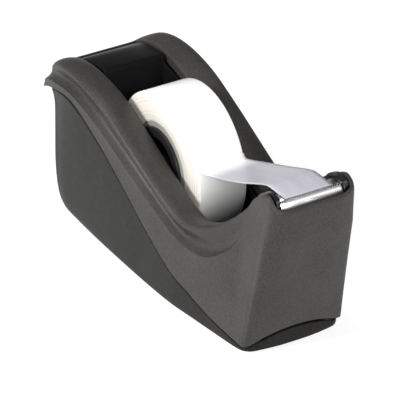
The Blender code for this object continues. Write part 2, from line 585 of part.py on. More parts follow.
def build_dispenser():
    clear_scene()
    collection = new_collection("tape_dispenser")
    cutters = new_collection("cutters")
    shell_plastic = material("shell_plastic", (0.075, 0.073, 0.070), 0.42)
    base_plastic = material("base_plastic", (0.062, 0.060, 0.055), 0.5)
    black_plastic = material("black_plastic", (0.010, 0.010, 0.011), 0.28)
    hub_plastic = material("hub_plastic", (0.012, 0.012, 0.013), 0.35)
    weight_iron = material("weight_iron", (0.16, 0.16, 0.16), 0.6, 0.8)
    plate_plastic = material("plate_plastic", (0.03, 0.03, 0.03), 0.55)
    pad_foam = material("pad_foam", (0.02, 0.02, 0.02), 0.9)
    steel = material("steel", (0.75, 0.75, 0.76), 0.22, 1.0)
    core_plastic = material("core_plastic", (0.45, 0.46, 0.42), 0.4)
    tape_wound = material("tape_wound", (0.83, 0.80, 0.72), 0.3)
    tape_film = material("tape_film", (0.72, 0.71, 0.76), 0.35)

    build_upper_shell(collection, cutters, shell_plastic)
    build_base_shell(collection, base_plastic)
    build_base_plate(collection, cutters, plate_plastic)
    build_foot_pad(collection, pad_foam)
    build_screws(collection, cutters, steel)
    build_weights(collection, weight_iron)
    build_well(collection, cutters, black_plastic)
    build_cutter_head(collection, cutters, black_plastic)
    build_cutter_blade(collection, cutters, steel)

    axle_line = bpy.data.objects.new("axle_line", None)
    axle_line.location = Vector((ROLL_X, 0.0, ROLL_Z)) * MM
    collection.objects.link(axle_line)
    build_axle(collection, axle_line, steel)
    build_roll(collection, axle_line, {"hub": hub_plastic, "core": core_plastic, "tape": tape_wound})
    build_tongue(collection, axle_line, tape_film)


build_dispenser()
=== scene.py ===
import math

import bmesh
import bpy
from mathutils import Matrix, Vector


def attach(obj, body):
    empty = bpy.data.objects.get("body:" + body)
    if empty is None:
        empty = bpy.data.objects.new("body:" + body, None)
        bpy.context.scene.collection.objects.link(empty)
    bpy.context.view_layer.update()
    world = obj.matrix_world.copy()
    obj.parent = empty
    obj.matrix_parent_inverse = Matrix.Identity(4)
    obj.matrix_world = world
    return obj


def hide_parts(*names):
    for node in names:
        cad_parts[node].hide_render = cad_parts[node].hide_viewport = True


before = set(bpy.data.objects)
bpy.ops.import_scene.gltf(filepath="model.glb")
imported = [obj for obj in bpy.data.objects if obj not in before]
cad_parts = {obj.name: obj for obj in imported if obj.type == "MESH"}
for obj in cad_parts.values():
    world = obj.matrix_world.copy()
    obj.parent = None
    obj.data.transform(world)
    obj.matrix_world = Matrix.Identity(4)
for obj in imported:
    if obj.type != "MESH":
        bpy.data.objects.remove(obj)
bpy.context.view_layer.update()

# ---------------------------------------------------------------------------------------------------------
# Camera: a long lens, a little above the desk and off the cutter's near corner, aimed at the tape roll.
# The dispenser fills most of the square frame.
MM = 0.001
ROLL_CENTRE = Vector((-10.7, 0.0, 36.3)) * MM
AZIMUTH = math.radians(58.85)
ELEVATION = math.radians(29.88)
CAMERA_DISTANCE = 1.4787
AIM_RIGHT = 0.00584
AIM_DOWN = 0.01445
FOCAL_LENGTH = 378.8
SENSOR_WIDTH = 36.0

camera_back = Vector((
    math.sin(AZIMUTH) * math.cos(ELEVATION), -math.cos(AZIMUTH) * math.cos(ELEVATION), math.sin(ELEVATION)))
camera_right = Vector((math.cos(AZIMUTH), math.sin(AZIMUTH), 0.0))
camera_up = camera_back.cross(camera_right)
camera_data = bpy.data.cameras.new("camera")
camera_data.sensor_width = SENSOR_WIDTH
camera_data.lens = FOCAL_LENGTH
camera_data.clip_start = 0.05
camera_data.clip_end = 20.0
camera = bpy.data.objects.new("camera", camera_data)
bpy.context.scene.collection.objects.link(camera)
camera.matrix_world = Matrix.Translation(
    ROLL_CENTRE + camera_back * CAMERA_DISTANCE + camera_right * AIM_RIGHT - camera_up * AIM_DOWN
) @ Matrix((camera_right, camera_up, camera_back)).transposed().to_4x4()
bpy.context.scene.camera = camera

# ---------------------------------------------------------------------------------------------------------
# Studio: a white table that glows a little, in a pale white surround. A strong lamp lights the long side, a
# weaker one the front, a faint one stands where the blade reflects it, and another hangs overhead.
SURROUND_STRENGTH = 0.24
TABLE_SIZE = 6.0
TABLE_HEIGHT = -0.0002
TABLE_GREY = 0.28
TABLE_GLOW = 0.82

bpy.context.scene.view_settings.view_transform = 'Standard'
surround = bpy.data.worlds.new("surround")
surround.use_nodes = True
surround.node_tree.nodes["Background"].inputs["Color"].default_value = (1.0, 1.0, 1.0, 1.0)
surround.node_tree.nodes["Background"].inputs["Strength"].default_value = SURROUND_STRENGTH
bpy.context.scene.world = surround

for lamp_name, place, size, power in (
        ("side_lamp", (-0.10, -1.10, 0.80), 0.30, 22.0),
        ("front_lamp", (1.15, -0.40, 0.60), 0.40, 10.0),
        ("blade_lamp", (1.04, 0.50, 0.53), 0.60, 2.6),
        ("top_lamp", (-0.20, -0.20, 1.30), 0.40, 3.0)):
    lamp_data = bpy.data.lights.new(lamp_name, 'AREA')
    lamp_data.energy = power
    lamp_data.size = size
    lamp = bpy.data.objects.new(lamp_name, lamp_data)
    bpy.context.scene.collection.objects.link(lamp)
    lamp.location = place
    lamp.rotation_euler = (ROLL_CENTRE - Vector(place)).to_track_quat('-Z', 'Y').to_euler()

table_bm = bmesh.new()
bmesh.ops.create_grid(table_bm, x_segments=8, y_segments=8, size=TABLE_SIZE,
                      matrix=Matrix.Translation((0.0, 0.0, TABLE_HEIGHT)))
table_mesh = bpy.data.meshes.new("table_top")
table_bm.to_mesh(table_mesh)
table_bm.free()
table_top = bpy.data.objects.new("table_top", table_mesh)
bpy.context.scene.collection.objects.link(table_top)
table_white = bpy.data.materials.new("table_white")
table_white.use_nodes = True
table_shader = table_white.node_tree.nodes["Principled BSDF"]
table_shader.inputs["Base Color"].default_value = (TABLE_GREY, TABLE_GREY, TABLE_GREY, 1.0)
table_shader.inputs["Roughness"].default_value = 0.7
table_shader.inputs["Emission Color"].default_value = (1.0, 1.0, 1.0, 1.0)
table_shader.inputs["Emission Strength"].default_value = TABLE_GLOW
table_mesh.materials.append(table_white)

# ---------------------------------------------------------------------------------------------------------
# Upper shell: one injection moulding in fine-grained charcoal plastic, pulled down on the base by four
# screws. A broad rolled shoulder runs round the tape opening and drops into a soft channel, and a skirt
# flares from there to the parting edge. The nose rises into two small ears beside the cutter.

# Stations of one half from the back to the front, in millimetres. Each runs outwards and down: opening
# edge, brow, channel, crest of the skirt, parting edge.
SHELL_STATIONS = (
    ((-65.3, 0.0, 54.9), (-68.8, 0.0, 52.5), (-71.4, 0.0, 48.3), (-72.7, 0.0, 45.5), (-74.2, 0.0, 41.4)),
    ((-65.3, 11.0, 54.9), (-68.7, 10.6, 52.6), (-71.2, 11.2, 48.4), (-72.5, 11.5, 45.6), (-73.9, 11.6, 41.6)),
    ((-64.2, 13.2, 55.9), (-66.9, 19.6, 54.4), (-69.6, 20.8, 49.4), (-70.7, 21.3, 46.9), (-71.6, 21.6, 43.4)),
    ((-57.5, 13.6, 58.5), (-59.4, 22.7, 58.4), (-61.4, 22.6, 52.6), (-62.2, 24.0, 50.7), (-63.4, 24.0, 47.4)),
    ((-46.7, 13.4, 59.4), (-46.7, 23.7, 59.7), (-47.0, 22.9, 54.2), (-47.0, 24.9, 52.4), (-47.0, 25.2, 50.1)),
    ((-30.5, 12.8, 56.5), (-30.5, 23.9, 57.4), (-30.5, 22.9, 51.4), (-30.5, 25.0, 49.2), (-30.5, 25.3, 44.2)),
    ((-13.3, 12.5, 49.1), (-13.3, 24.1, 50.5), (-13.3, 22.5, 45.0), (-13.3, 24.8, 42.6), (-13.3, 25.3, 34.9)),
    ((5.7, 12.5, 40.5), (5.7, 24.0, 42.0), (5.7, 21.7, 36.2), (5.7, 24.0, 34.2), (5.7, 25.1, 22.8)),
    ((20.3, 12.5, 35.1), (20.3, 23.4, 36.4), (20.3, 21.3, 30.6), (20.3, 23.5, 28.9), (21.0, 24.7, 14.1)),
    ((29.5, 12.5, 34.7), (29.5, 22.0, 35.6), (30.0, 20.4, 29.4), (30.0, 22.8, 27.2), (31.0, 23.7, 10.6)),
    ((40.2, 12.5, 39.6), (39.2, 19.7, 39.2), (40.5, 19.8, 31.2), (40.5, 21.9, 28.8), (41.0, 22.4, 6.9)),
    ((49.5, 12.5, 46.6), (48.0, 17.6, 45.6), (50.4, 18.1, 38.2), (50.6, 19.9, 35.4), (50.5, 21.2, 4.6)),
    ((56.6, 12.7, 54.4), (55.6, 15.6, 53.0), (55.8, 16.6, 47.4), (56.4, 17.8, 42.0), (56.5, 20.5, 3.5)),
    ((61.6, 14.4, 60.6), (61.4, 15.7, 60.0), (61.3, 16.4, 55.5), (61.0, 17.4, 47.0), (60.0, 20.2, 3.1)),
    ((69.4, 14.6, 65.2), (69.3, 16.3, 64.8), (69.4, 16.6, 60.2), (67.5, 17.5, 47.0), (61.2, 19.9, 3.1)),
    ((74.0, 14.4, 62.5), (73.9, 16.1, 61.8), (73.6, 16.4, 57.5), (71.6, 17.3, 47.0), (62.2, 18.6, 3.4)),
    ((74.7, 10.9, 60.9), (76.0, 11.2, 60.5), (75.4, 11.4, 57.2), (73.5, 11.6, 47.0), (63.2, 11.8, 5.4)),
    ((74.7, 5.6, 60.8), (76.0, 5.8, 60.5), (75.5, 5.9, 57.2), (73.6, 5.9, 47.0), (63.6, 6.0, 6.6)),
    ((74.7, 0.0, 60.8), (76.0, 0.0, 60.5), (75.5, 0.0, 57.2), (73.6, 0.0, 47.0), (63.7, 0.0, 7.0)),
)
COLUMNS_PER_STATION = 8
ROWS_PER_SPAN = 3
SHELL_WALL = 1.4
LIP_DEPTH = 3.4
LIP_WALL = 1.2
CHANNEL_DEPTH = 0.9
NARROW_SHOULDER = 2.0
BROAD_SHOULDER = 6.0
MERGE_DISTANCE = 0.002
UP = Vector((0.0, 0.0, 1.0))


def through(points, position):
    """Point on a smooth line that passes through the points; the position counts points from the first."""
    last = len(points) - 1
    index = min(int(position), last - 1)
    part = position - index
    p1 = points[index]
    p2 = points[index + 1]
    p0 = points[index - 1] if index > 0 else 2.0 * p1 - p2
    p3 = points[index + 2] if index + 2 <= last else 2.0 * p2 - p1
    square = (2.0 * p0 - 5.0 * p1 + 4.0 * p2 - p3) * part ** 2
    cube = (3.0 * p1 - p0 - 3.0 * p2 + p3) * part ** 3
    return p1 + 0.5 * ((p2 - p0) * part + square + cube)


def drawn_line(points, steps):
    """Smooth line through the points, with a number of steps between two of them."""
    points = [Vector(point) for point in points]
    return [through(points, index / steps) for index in range((len(points) - 1) * steps + 1)]


def near_line(points, steps):
    """Softer line that starts and ends on the outer points and only leans towards the others."""
    points = [points[0]] * 2 + list(points) + [points[-1]] * 2
    line = []
    for before, first, second, after in zip(points, points[1:], points[2:], points[3:]):
        for index in range(steps):
            part = index / steps
            line.append((before * (1.0 - part) ** 3
                         + first * (3.0 * part ** 3 - 6.0 * part ** 2 + 4.0)
                         + second * (-3.0 * part ** 3 + 3.0 * part ** 2 + 3.0 * part + 1.0)
                         + after * part ** 3) / 6.0)
    line.append(points[-1])
    return line


def half_columns(stations):
    """The stations of one half, made many by smooth lines along the body."""
    lines = [drawn_line(line, COLUMNS_PER_STATION) for line in zip(*stations)]
    return list(zip(*lines))


def both_halves(columns):
    """Closed rows round the body from the finished columns of one half."""
    rows = []
    for half in zip(*columns):
        mirrored = [Vector((point.x, -point.y, point.z)) for point in reversed(half[1:-1])]
        rows.append(list(half) + mirrored)
    return rows


def round_ring(first):
    """Corners of a closed ring of edges, in their order from the first."""
    ring = [first]
    behind = first
    ahead = first.link_edges[0].other_vert(first)
    while ahead is not first:
        ring.append(ahead)
        neighbours = [edge.other_vert(ahead) for edge in ahead.link_edges]
        behind, ahead = ahead, next(corner for corner in neighbours if corner is not behind)
    return ring


def fresh_parts(swept):
    """Corners that an extrusion made, and the edges between them."""
    corners = {item for item in swept if isinstance(item, bmesh.types.BMVert)}
    edges = [item for item in swept
             if isinstance(item, bmesh.types.BMEdge) and set(item.verts) <= corners]
    return corners, edges


def lofted(name, rows):
    """Closed wall: a ring of edges extruded from row to row, and back on to the first row."""
    bm = bmesh.new()
    bmesh.ops.create_circle(bm, segments=len(rows[0]), radius=1.0)
    ring = round_ring(bm.verts[:][0])
    for vertex, place in zip(ring, rows[0]):
        vertex.co = place * MM
    edges = bm.edges[:]
    for row in rows[1:] + rows[:1]:
        fresh, edges = fresh_parts(bmesh.ops.extrude_edge_only(bm, edges=edges)["geom"])
        follows = {}
        for vertex in fresh:
            for edge in vertex.link_edges:
                if edge.other_vert(vertex) not in fresh:
                    follows[edge.other_vert(vertex)] = vertex
        ring = [follows[vertex] for vertex in ring]
        for vertex, place in zip(ring, row):
            vertex.co = place * MM
    bmesh.ops.remove_doubles(bm, verts=bm.verts[:], dist=MERGE_DISTANCE * MM)
    return finished_mesh(name, bm)


def finished_mesh(name, bm, sharp=40.0):
    """Normals outwards, smooth shading with sharp corners kept."""
    bmesh.ops.recalc_face_normals(bm, faces=bm.faces[:])
    if bm.calc_volume(signed=True) < 0.0:
        bmesh.ops.reverse_faces(bm, faces=bm.faces[:])
    mesh = bpy.data.meshes.new(name)
    bm.to_mesh(mesh)
    bm.free()
    mesh.shade_smooth()
    mesh.set_sharp_from_angle(angle=math.radians(sharp))
    return mesh


def place_piece(name, mesh, finish, body, slot, *nodes):
    """Puts a piece on its body, in place of its plain solids, with its finish."""
    piece = bpy.data.objects.new(name, mesh)
    bpy.context.scene.collection.objects.link(piece)
    mesh.materials.append(finish)
    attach(piece, body)
    if nodes:
        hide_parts(*nodes)
    return piece


def outwards(shell_column):
    """Level way out of the body at a station of the shell, from the opening's edge to the brow."""
    edge, brow = shell_column[:2]
    return Vector((brow.x - edge.x, brow.y - edge.y, 0.0)).normalized()


def shell_section(column):
    """Round one section of the shell's wall: lip, shoulder, channel, skirt, then back up the inside."""
    edge, brow, channel, crest, rim = column
    width = (brow - edge).length
    out = outwards(column)
    # A narrow shoulder is one solid lip, and a broad one is hollow underneath.
    broad = min(1.0, max(0.0, (width - NARROW_SHOULDER) / (BROAD_SHOULDER - NARROW_SHOULDER)))
    broad = broad * broad * (3.0 - 2.0 * broad)
    lip_foot = edge - UP * LIP_DEPTH
    channel = channel - out * CHANNEL_DEPTH * broad
    outside = near_line([
        lip_foot,
        edge - UP * 0.8,
        edge + UP * 0.02 * width,
        edge.lerp(brow, 0.14) + UP * 0.06 * width,
        edge.lerp(brow, 0.42) + UP * 0.12 * width,
        edge.lerp(brow, 0.72) + UP * 0.11 * width,
        edge.lerp(brow, 0.95) + UP * 0.02 * width,
        brow.lerp(channel, 0.24) + out * 0.05 * width,
        brow.lerp(channel, 0.50) + out * 0.01 * width,
        brow.lerp(channel, 0.90) - out * 0.04 * width,
        channel.lerp(crest, 0.40) - out * 0.04 * width,
        crest.lerp(channel, 0.25) - out * 0.01 * width,
        crest + out * 0.02 * width,
        crest + out * 0.02 * width,
        crest.lerp(rim, 0.10) + out * 0.01 * width,
        crest.lerp(rim, 0.38),
        crest.lerp(rim, 0.72),
        rim.lerp(crest, 0.06),
        rim + UP * 0.10,
        rim - out * 0.30,
        rim - out * SHELL_WALL + UP * 0.05,
    ], ROWS_PER_SPAN)
    inside = [
        crest.lerp(rim, 0.70) - out * SHELL_WALL,
        crest.lerp(rim, 0.30) - out * SHELL_WALL,
        crest - out * SHELL_WALL,
        channel - out * SHELL_WALL,
        lip_foot.lerp(brow - out * SHELL_WALL - UP * SHELL_WALL, broad),
        lip_foot.lerp(edge.lerp(brow, 0.5) - UP * (SHELL_WALL - 0.05 * width), broad),
        lip_foot.lerp(edge + out * LIP_WALL - UP * SHELL_WALL, broad),
        lip_foot.lerp(lip_foot + out * LIP_WALL, broad),
    ]
    return outside + inside


def new_finish(name):
    """New material, with its node tree, its shader and the piece's own coordinates."""
    finish = bpy.data.materials.new(name)
    finish.use_nodes = True
    tree = finish.node_tree
    places = tree.nodes.new("ShaderNodeTexCoord").outputs["Object"]
    return finish, tree, tree.nodes["Principled BSDF"], places


def noise(tree, places, scale, detail=2.0, stretch=None):
    """Noise on the object's own coordinates, drawn out along an axis if a stretch is given."""
    if stretch is not None:
        mapping = tree.nodes.new("ShaderNodeMapping")
        mapping.inputs["Scale"].default_value = stretch
        tree.links.new(places, mapping.inputs["Vector"])
        places = mapping.outputs["Vector"]
    texture = tree.nodes.new("ShaderNodeTexNoise")
    texture.inputs["Scale"].default_value = scale
    texture.inputs["Detail"].default_value = detail
    tree.links.new(places, texture.inputs["Vector"])
    return texture.outputs["Fac"]


def ramp(tree, source, low, high, first, second):
    """Colours or greys laid over a range of the source's value."""
    band = tree.nodes.new("ShaderNodeValToRGB")
    band.color_ramp.elements[0].position = low
    band.color_ramp.elements[1].position = high
    band.color_ramp.elements[0].color = (*first, 1.0)
    band.color_ramp.elements[1].color = (*second, 1.0)
    tree.links.new(source, band.inputs["Fac"])
    return band.outputs["Color"]


def span(tree, source, low, high):
    """The source's value from 0 to 1, laid over a range of plain numbers."""
    map_range = tree.nodes.new("ShaderNodeMapRange")
    map_range.inputs["To Min"].default_value = low
    map_range.inputs["To Max"].default_value = high
    tree.links.new(source, map_range.inputs["Value"])
    return map_range.outputs["Result"]


def multiply(tree, first, second):
    """Product of two colours."""
    mix = tree.nodes.new("ShaderNodeMix")
    mix.data_type = 'RGBA'
    mix.blend_type = 'MULTIPLY'
    mix.inputs["Factor"].default_value = 1.0
    tree.links.new(first, mix.inputs["A"])
    tree.links.new(second, mix.inputs["B"])
    return mix.outputs["Result"]


def roughened(tree, shader, source, low, high):
    """Gives the shader a roughness that drifts between two values with the source."""
    tree.links.new(span(tree, source, low, high), shader.inputs["Roughness"])


def bump(tree, shader, height, strength, distance, under=None):
    """Fine relief, laid over another one if given."""
    relief = tree.nodes.new("ShaderNodeBump")
    relief.inputs["Strength"].default_value = strength
    relief.inputs["Distance"].default_value = distance
    tree.links.new(height, relief.inputs["Height"])
    if under is not None:
        tree.links.new(under, relief.inputs["Normal"])
    tree.links.new(relief.outputs["Normal"], shader.inputs["Normal"])
    return relief.outputs["Normal"]


def grained_plastic(name, dark, light, roughness_low, roughness_high, specular=0.22, grain=0.35):
    """Moulded plastic with a spark-eroded grain, faint blotches of colour and a slow drift of its sheen."""
    finish, tree, shader, places = new_finish(name)
    blotches = ramp(tree, noise(tree, places, 55.0, 4.0), 0.30, 0.70, dark, light)
    specks = ramp(tree, noise(tree, places, 1500.0, 3.0), 0.32, 0.68, (0.70, 0.70, 0.70), (1.24, 1.24, 1.23))
    tree.links.new(multiply(tree, blotches, specks), shader.inputs["Base Color"])
    roughened(tree, shader, noise(tree, places, 420.0, 3.0), roughness_low, roughness_high)
    shader.inputs["Specular IOR Level"].default_value = specular
    coarse = bump(tree, shader, noise(tree, places, 900.0, 2.0), grain * 0.7, 0.00006)
    bump(tree, shader, noise(tree, places, 2600.0, 2.0), grain, 0.00005, coarse)
    return finish


shell_charcoal = grained_plastic("shell_charcoal", (0.030, 0.029, 0.027), (0.040, 0.038, 0.036), 0.40, 0.52)
shell_columns = half_columns(SHELL_STATIONS)
shell_rows = both_halves([shell_section(column) for column in shell_columns])
place_piece("moulded_shell", lofted("moulded_shell", shell_rows), shell_charcoal,
            "dispenser", "shell_plastic", "upper_shell")

# ---------------------------------------------------------------------------------------------------------
# Base: the second moulding, a tub in a darker charcoal that carries the shell. A lip on its upper edge
# stands inside the shell, so that the two meet at a thin shadow line, and its front bows under the shell.

# Stations of one half that match the shell's, in millimetres. Each runs down: top edge, top of the wall,
# middle, foot. Behind, the top edge stands out under the shell's tail.
BASE_STATIONS = (
    ((-71.8, 0.0, 42.0), (-66.0, 0.0, 40.4), (-66.0, 0.0, 18.0), (-60.6, 0.0, 0.6)),
    ((-71.5, 9.0, 42.1), (-65.9, 9.0, 40.6), (-65.9, 9.0, 18.0), (-60.6, 9.0, 0.6)),
    ((-69.4, 19.4, 43.7), (-63.9, 20.8, 42.2), (-64.0, 21.2, 18.0), (-59.6, 19.0, 0.6)),
    ((-62.4, 22.2, 46.6), (-58.4, 23.3, 43.8), (-58.4, 23.5, 18.0), (-55.8, 22.2, 0.6)),
    ((-47.0, 24.9, 49.5), (-47.0, 24.8, 46.0), (-46.8, 24.3, 20.0), (-46.0, 23.2, 0.6)),
    ((-30.5, 25.0, 43.5), (-30.5, 25.0, 40.6), (-30.5, 24.8, 18.0), (-30.5, 24.0, 0.6)),
    ((-13.3, 25.0, 34.3), (-13.3, 25.0, 31.3), (-13.3, 24.9, 15.0), (-13.3, 24.4, 0.6)),
    ((5.7, 24.8, 22.4), (5.7, 24.8, 19.2), (5.7, 24.8, 10.0), (5.7, 24.5, 0.6)),
    ((21.0, 24.4, 13.7), (21.0, 24.4, 11.0), (21.0, 24.4, 6.0), (20.6, 24.0, 0.6)),
    ((31.0, 23.4, 10.2), (31.0, 23.4, 8.0), (31.0, 23.3, 4.6), (31.2, 22.8, 0.6)),
    ((41.0, 22.1, 6.6), (41.0, 22.1, 5.2), (41.0, 22.0, 3.2), (41.2, 21.7, 0.6)),
    ((50.3, 20.9, 4.3), (50.3, 20.9, 3.5), (50.3, 20.9, 2.3), (50.5, 20.6, 0.6)),
    ((56.0, 20.1, 3.2), (56.0, 20.1, 2.7), (56.0, 20.1, 1.8), (56.1, 19.9, 0.6)),
    ((59.3, 19.3, 2.8), (59.3, 19.3, 2.3), (59.4, 19.3, 1.6), (59.4, 19.1, 0.6)),
    ((60.9, 18.1, 2.8), (60.9, 18.1, 2.3), (61.0, 18.1, 1.6), (61.0, 17.9, 0.6)),
    ((61.9, 16.2, 3.1), (62.0, 16.2, 2.5), (62.1, 16.2, 1.7), (62.1, 16.1, 0.6)),
    ((62.9, 11.4, 5.0), (63.0, 11.4, 4.1), (63.1, 11.4, 2.4), (63.0, 11.4, 0.6)),
    ((63.3, 5.8, 6.2), (63.5, 5.8, 5.1), (63.7, 5.8, 3.0), (63.6, 5.8, 0.6)),
    ((63.4, 0.0, 6.6), (63.6, 0.0, 5.4), (63.8, 0.0, 3.2), (63.7, 0.0, 0.6)),
)
BASE_WALL = 1.6
FLANGE = 3.4
SHADOW_GAP = 0.5
TAIL_OVERHANG = 3.0
LIP_HEIGHT = 1.5
LIP_INSET = 1.9
LIP_THICKNESS = 1.3
LIP_TAPER = 0.1


def base_section(shell_column, column):
    """Round one section of the base's wall: lip, shadow step, wall, heel, flange, then up the inside."""
    top, wall, middle, foot = column
    top = top - UP * SHADOW_GAP
    out = outwards(shell_column)
    ledge = min(1.0, max(0.0, (top - wall).dot(out) / TAIL_OVERHANG))
    heel_high = Vector((*middle.xy.lerp(foot.xy, 0.14), middle.z + (foot.z - middle.z) * 0.6))
    heel_low = Vector((*middle.xy.lerp(foot.xy, 0.50), middle.z + (foot.z - middle.z) * 0.9))
    lip = [
        top - out * (LIP_INSET + LIP_THICKNESS) + UP * LIP_HEIGHT,
        top - out * (LIP_INSET + LIP_TAPER) + UP * LIP_HEIGHT,
        top - out * LIP_INSET,
    ]
    outside = near_line([
        top - out * 1.4,
        top - out * 0.5,
        top - out * 0.02,
        top.lerp(wall, 0.25),
        wall,
        wall.lerp(middle, 0.35),
        wall.lerp(middle, 0.75),
        middle,
        heel_high,
        heel_low,
        foot.lerp(heel_low, 0.25),
        foot - out * 0.4,
    ], ROWS_PER_SPAN)
    inside = [
        foot - out * FLANGE,
        foot - out * FLANGE + UP * BASE_WALL,
        foot - out * (BASE_WALL + 0.4) + UP * BASE_WALL,
        middle - out * BASE_WALL + UP * 0.5,
        wall - out * BASE_WALL,
        wall.lerp(top, 0.5) - out * BASE_WALL * (1.0 - ledge) + UP * BASE_WALL * ledge,
    ]
    return lip + outside + inside


base_charcoal = grained_plastic("base_charcoal", (0.013, 0.0127, 0.0112), (0.018, 0.0175, 0.0155),
                                0.34, 0.46, specular=0.08)
base_columns = half_columns(BASE_STATIONS)
base_rows = both_halves([base_section(*pair) for pair in zip(shell_columns, base_columns)])
place_piece("moulded_base", lofted("moulded_base", base_rows), base_charcoal,
            "dispenser", "base_plastic", "base_shell")

# ---------------------------------------------------------------------------------------------------------
# Tape roll: many turns of clear film on a grey plastic core. The wound film looks cream white, smooth on
# its face and finely ringed on its sides, where the edges of the turns lie beside each other. The sides are
# also coloured a darker beige, painted shade where the shell's edge shades them.
TAPE_HALF = 9.5
TAPE_OUTER = 27.0
CORE_OUTER = 16.3
CORE_INNER = 12.9
CORE_GAP = 0.05
TAPE_EDGE = 0.45
TAPE_INNER_EDGE = 0.15
CORE_EDGE = 0.35
TAPE_STEPS = 160
CORE_STEPS = 128
TURN_PITCH = 0.0007
RIDGE_PITCH = 0.0003
CORNER_STEPS = 4


def turned(name, profile, steps, sharp=30.0):
    """Piece turned about the roll's axle from its closed outline (radius, place along the axle). A side
    of the outline that lies on the axle makes no faces and is left out."""
    bm = bmesh.new()
    corners = [bm.verts.new(ROLL_CENTRE + Vector((radius, along, 0.0)) * MM) for radius, along in profile]
    distances = [radius for radius, _ in profile]
    for index, corner in enumerate(corners):
        if distances[index - 1] > 0.0 or distances[index] > 0.0:
            bm.edges.new((corners[index - 1], corner))
    bmesh.ops.spin(bm, geom=bm.verts[:] + bm.edges[:], cent=ROLL_CENTRE, axis=(0.0, 1.0, 0.0),
                   angle=math.tau, steps=steps, use_merge=True)
    bmesh.ops.remove_doubles(bm, verts=bm.verts[:], dist=MERGE_DISTANCE * MM)
    return finished_mesh(name, bm, sharp)


def ring_outline(inner, outer, half, edge, inner_edge=None):
    """Outline of a ring with rounded corners."""
    inner_edge = edge if inner_edge is None else inner_edge
    outline = []
    for radius, along, turn, size in ((outer - edge, half - edge, 0.0, edge),
                                      (inner + inner_edge, half - inner_edge, 90.0, inner_edge),
                                      (inner + inner_edge, inner_edge - half, 180.0, inner_edge),
                                      (outer - edge, edge - half, 270.0, edge)):
        for step in range(CORNER_STEPS + 1):
            angle = math.radians(turn + 90.0 * step / CORNER_STEPS)
            outline.append((radius + size * math.cos(angle), along + size * math.sin(angle)))
    return outline


def rings(tree, places, pitch):
    """Value that changes with the distance from the axle only, in bands of a pitch."""
    centred = tree.nodes.new("ShaderNodeMapping")
    centred.inputs["Location"].default_value = -ROLL_CENTRE
    tree.links.new(places, centred.inputs["Vector"])
    flat = tree.nodes.new("ShaderNodeVectorMath")
    flat.operation = 'MULTIPLY'
    flat.inputs[1].default_value = (1.0, 0.0, 1.0)
    tree.links.new(centred.outputs["Vector"], flat.inputs[0])
    length = tree.nodes.new("ShaderNodeVectorMath")
    length.operation = 'LENGTH'
    tree.links.new(flat.outputs["Vector"], length.inputs[0])
    texture = tree.nodes.new("ShaderNodeTexNoise")
    texture.noise_dimensions = '1D'
    texture.inputs["Scale"].default_value = 1.0 / pitch
    texture.inputs["Detail"].default_value = 3.0
    tree.links.new(length.outputs["Value"], texture.inputs["W"])
    return texture.outputs["Fac"]


def side_share(tree, places, inner, outer):
    """Value that rises from 0 to 1 between two distances from the middle plane of the roll."""
    apart = tree.nodes.new("ShaderNodeSeparateXYZ")
    tree.links.new(places, apart.inputs["Vector"])
    distance = tree.nodes.new("ShaderNodeMath")
    distance.operation = 'ABSOLUTE'
    tree.links.new(apart.outputs["Y"], distance.inputs[0])
    share = tree.nodes.new("ShaderNodeMapRange")
    share.inputs["From Min"].default_value = inner * MM
    share.inputs["From Max"].default_value = outer * MM
    tree.links.new(distance.outputs["Value"], share.inputs["Value"])
    return share.outputs["Result"]


def mixed(tree, share, first, second):
    """One colour turning into another."""
    mix = tree.nodes.new("ShaderNodeMix")
    mix.data_type = 'RGBA'
    tree.links.new(share, mix.inputs["Factor"])
    tree.links.new(first, mix.inputs["A"])
    tree.links.new(second, mix.inputs["B"])
    return mix.outputs["Result"]


def coloured(tree, shader, source, first, second, low=0.30, high=0.70):
    """Gives the shader a colour that drifts between two with the source."""
    tree.links.new(ramp(tree, source, low, high, first, second), shader.inputs["Base Color"])


wound_film, tree, shader, places = new_finish("wound_film")
# The sides' rings are the edges of the turns; their darker beige colour is painted shade.
shaded_turn_edges = ramp(tree, rings(tree, places, TURN_PITCH), 0.30, 0.70, (0.66, 0.61, 0.54), (0.82, 0.79, 0.73))
face_cloud = ramp(tree, noise(tree, places, 45.0, 3.0), 0.30, 0.70, (0.88, 0.875, 0.86), (0.95, 0.945, 0.93))
on_side = side_share(tree, places, TAPE_HALF - 0.9, TAPE_HALF - 0.05)
tree.links.new(mixed(tree, on_side, face_cloud, shaded_turn_edges), shader.inputs["Base Color"])
roughened(tree, shader, noise(tree, places, 160.0, 2.0, (1.0, 0.15, 1.0)), 0.24, 0.36)
shader.inputs["Subsurface Weight"].default_value = 0.55
shader.inputs["Subsurface Radius"].default_value = (0.008, 0.0075, 0.007)
shader.inputs["Subsurface Scale"].default_value = 1.0
bump(tree, shader, rings(tree, places, RIDGE_PITCH), 0.30, 0.00005)
tape_outline = ring_outline(CORE_OUTER + CORE_GAP, TAPE_OUTER, TAPE_HALF, TAPE_EDGE, TAPE_INNER_EDGE)
place_piece("wound_tape", turned("wound_tape", tape_outline, TAPE_STEPS), wound_film,
            "roll", "tape_wound", "tape_roll")

core_grey, tree, shader, places = new_finish("core_grey")
coloured(tree, shader, noise(tree, places, 90.0, 4.0), (0.20, 0.20, 0.175), (0.28, 0.28, 0.25), 0.25, 0.75)
roughened(tree, shader, noise(tree, places, 500.0, 2.0), 0.34, 0.50)
bump(tree, shader, noise(tree, places, 1800.0, 2.0), 0.2, 0.00004)
core_outline = ring_outline(CORE_INNER, CORE_OUTER, TAPE_HALF, CORE_EDGE)
place_piece("moulded_core", turned("moulded_core", core_outline, CORE_STEPS), core_grey,
            "roll", "core_plastic", "tape_core")

